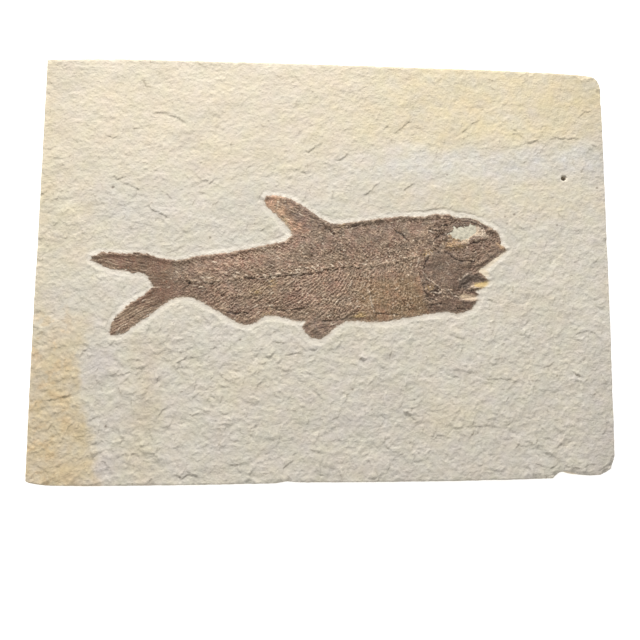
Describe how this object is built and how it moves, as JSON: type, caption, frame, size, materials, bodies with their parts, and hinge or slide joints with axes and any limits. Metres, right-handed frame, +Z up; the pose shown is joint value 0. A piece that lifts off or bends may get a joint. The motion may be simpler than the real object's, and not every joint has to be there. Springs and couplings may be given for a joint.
{
  "type": "fossil fish slab",
  "caption": "Flat rectangular slab of pale split limestone holding a flattened fossil fish in a shallow prepared recess, lying fish side up.",
  "frame": {"origin": "middle of the slab's underside", "axes": "+X towards the fish's head along the slab's long side, +Y towards the fish's back, +Z up out of the face that holds the fish"},
  "size_m": [0.1512, 0.1119, 0.0101],
  "materials": {
    "limestone": "matte",
    "fossil_bone": "matte"
  },
  "bodies": {
    "root": {"limestone_slab": "limestone", "fossil_fish": "fossil_bone"}
  },
  "joints": []
}
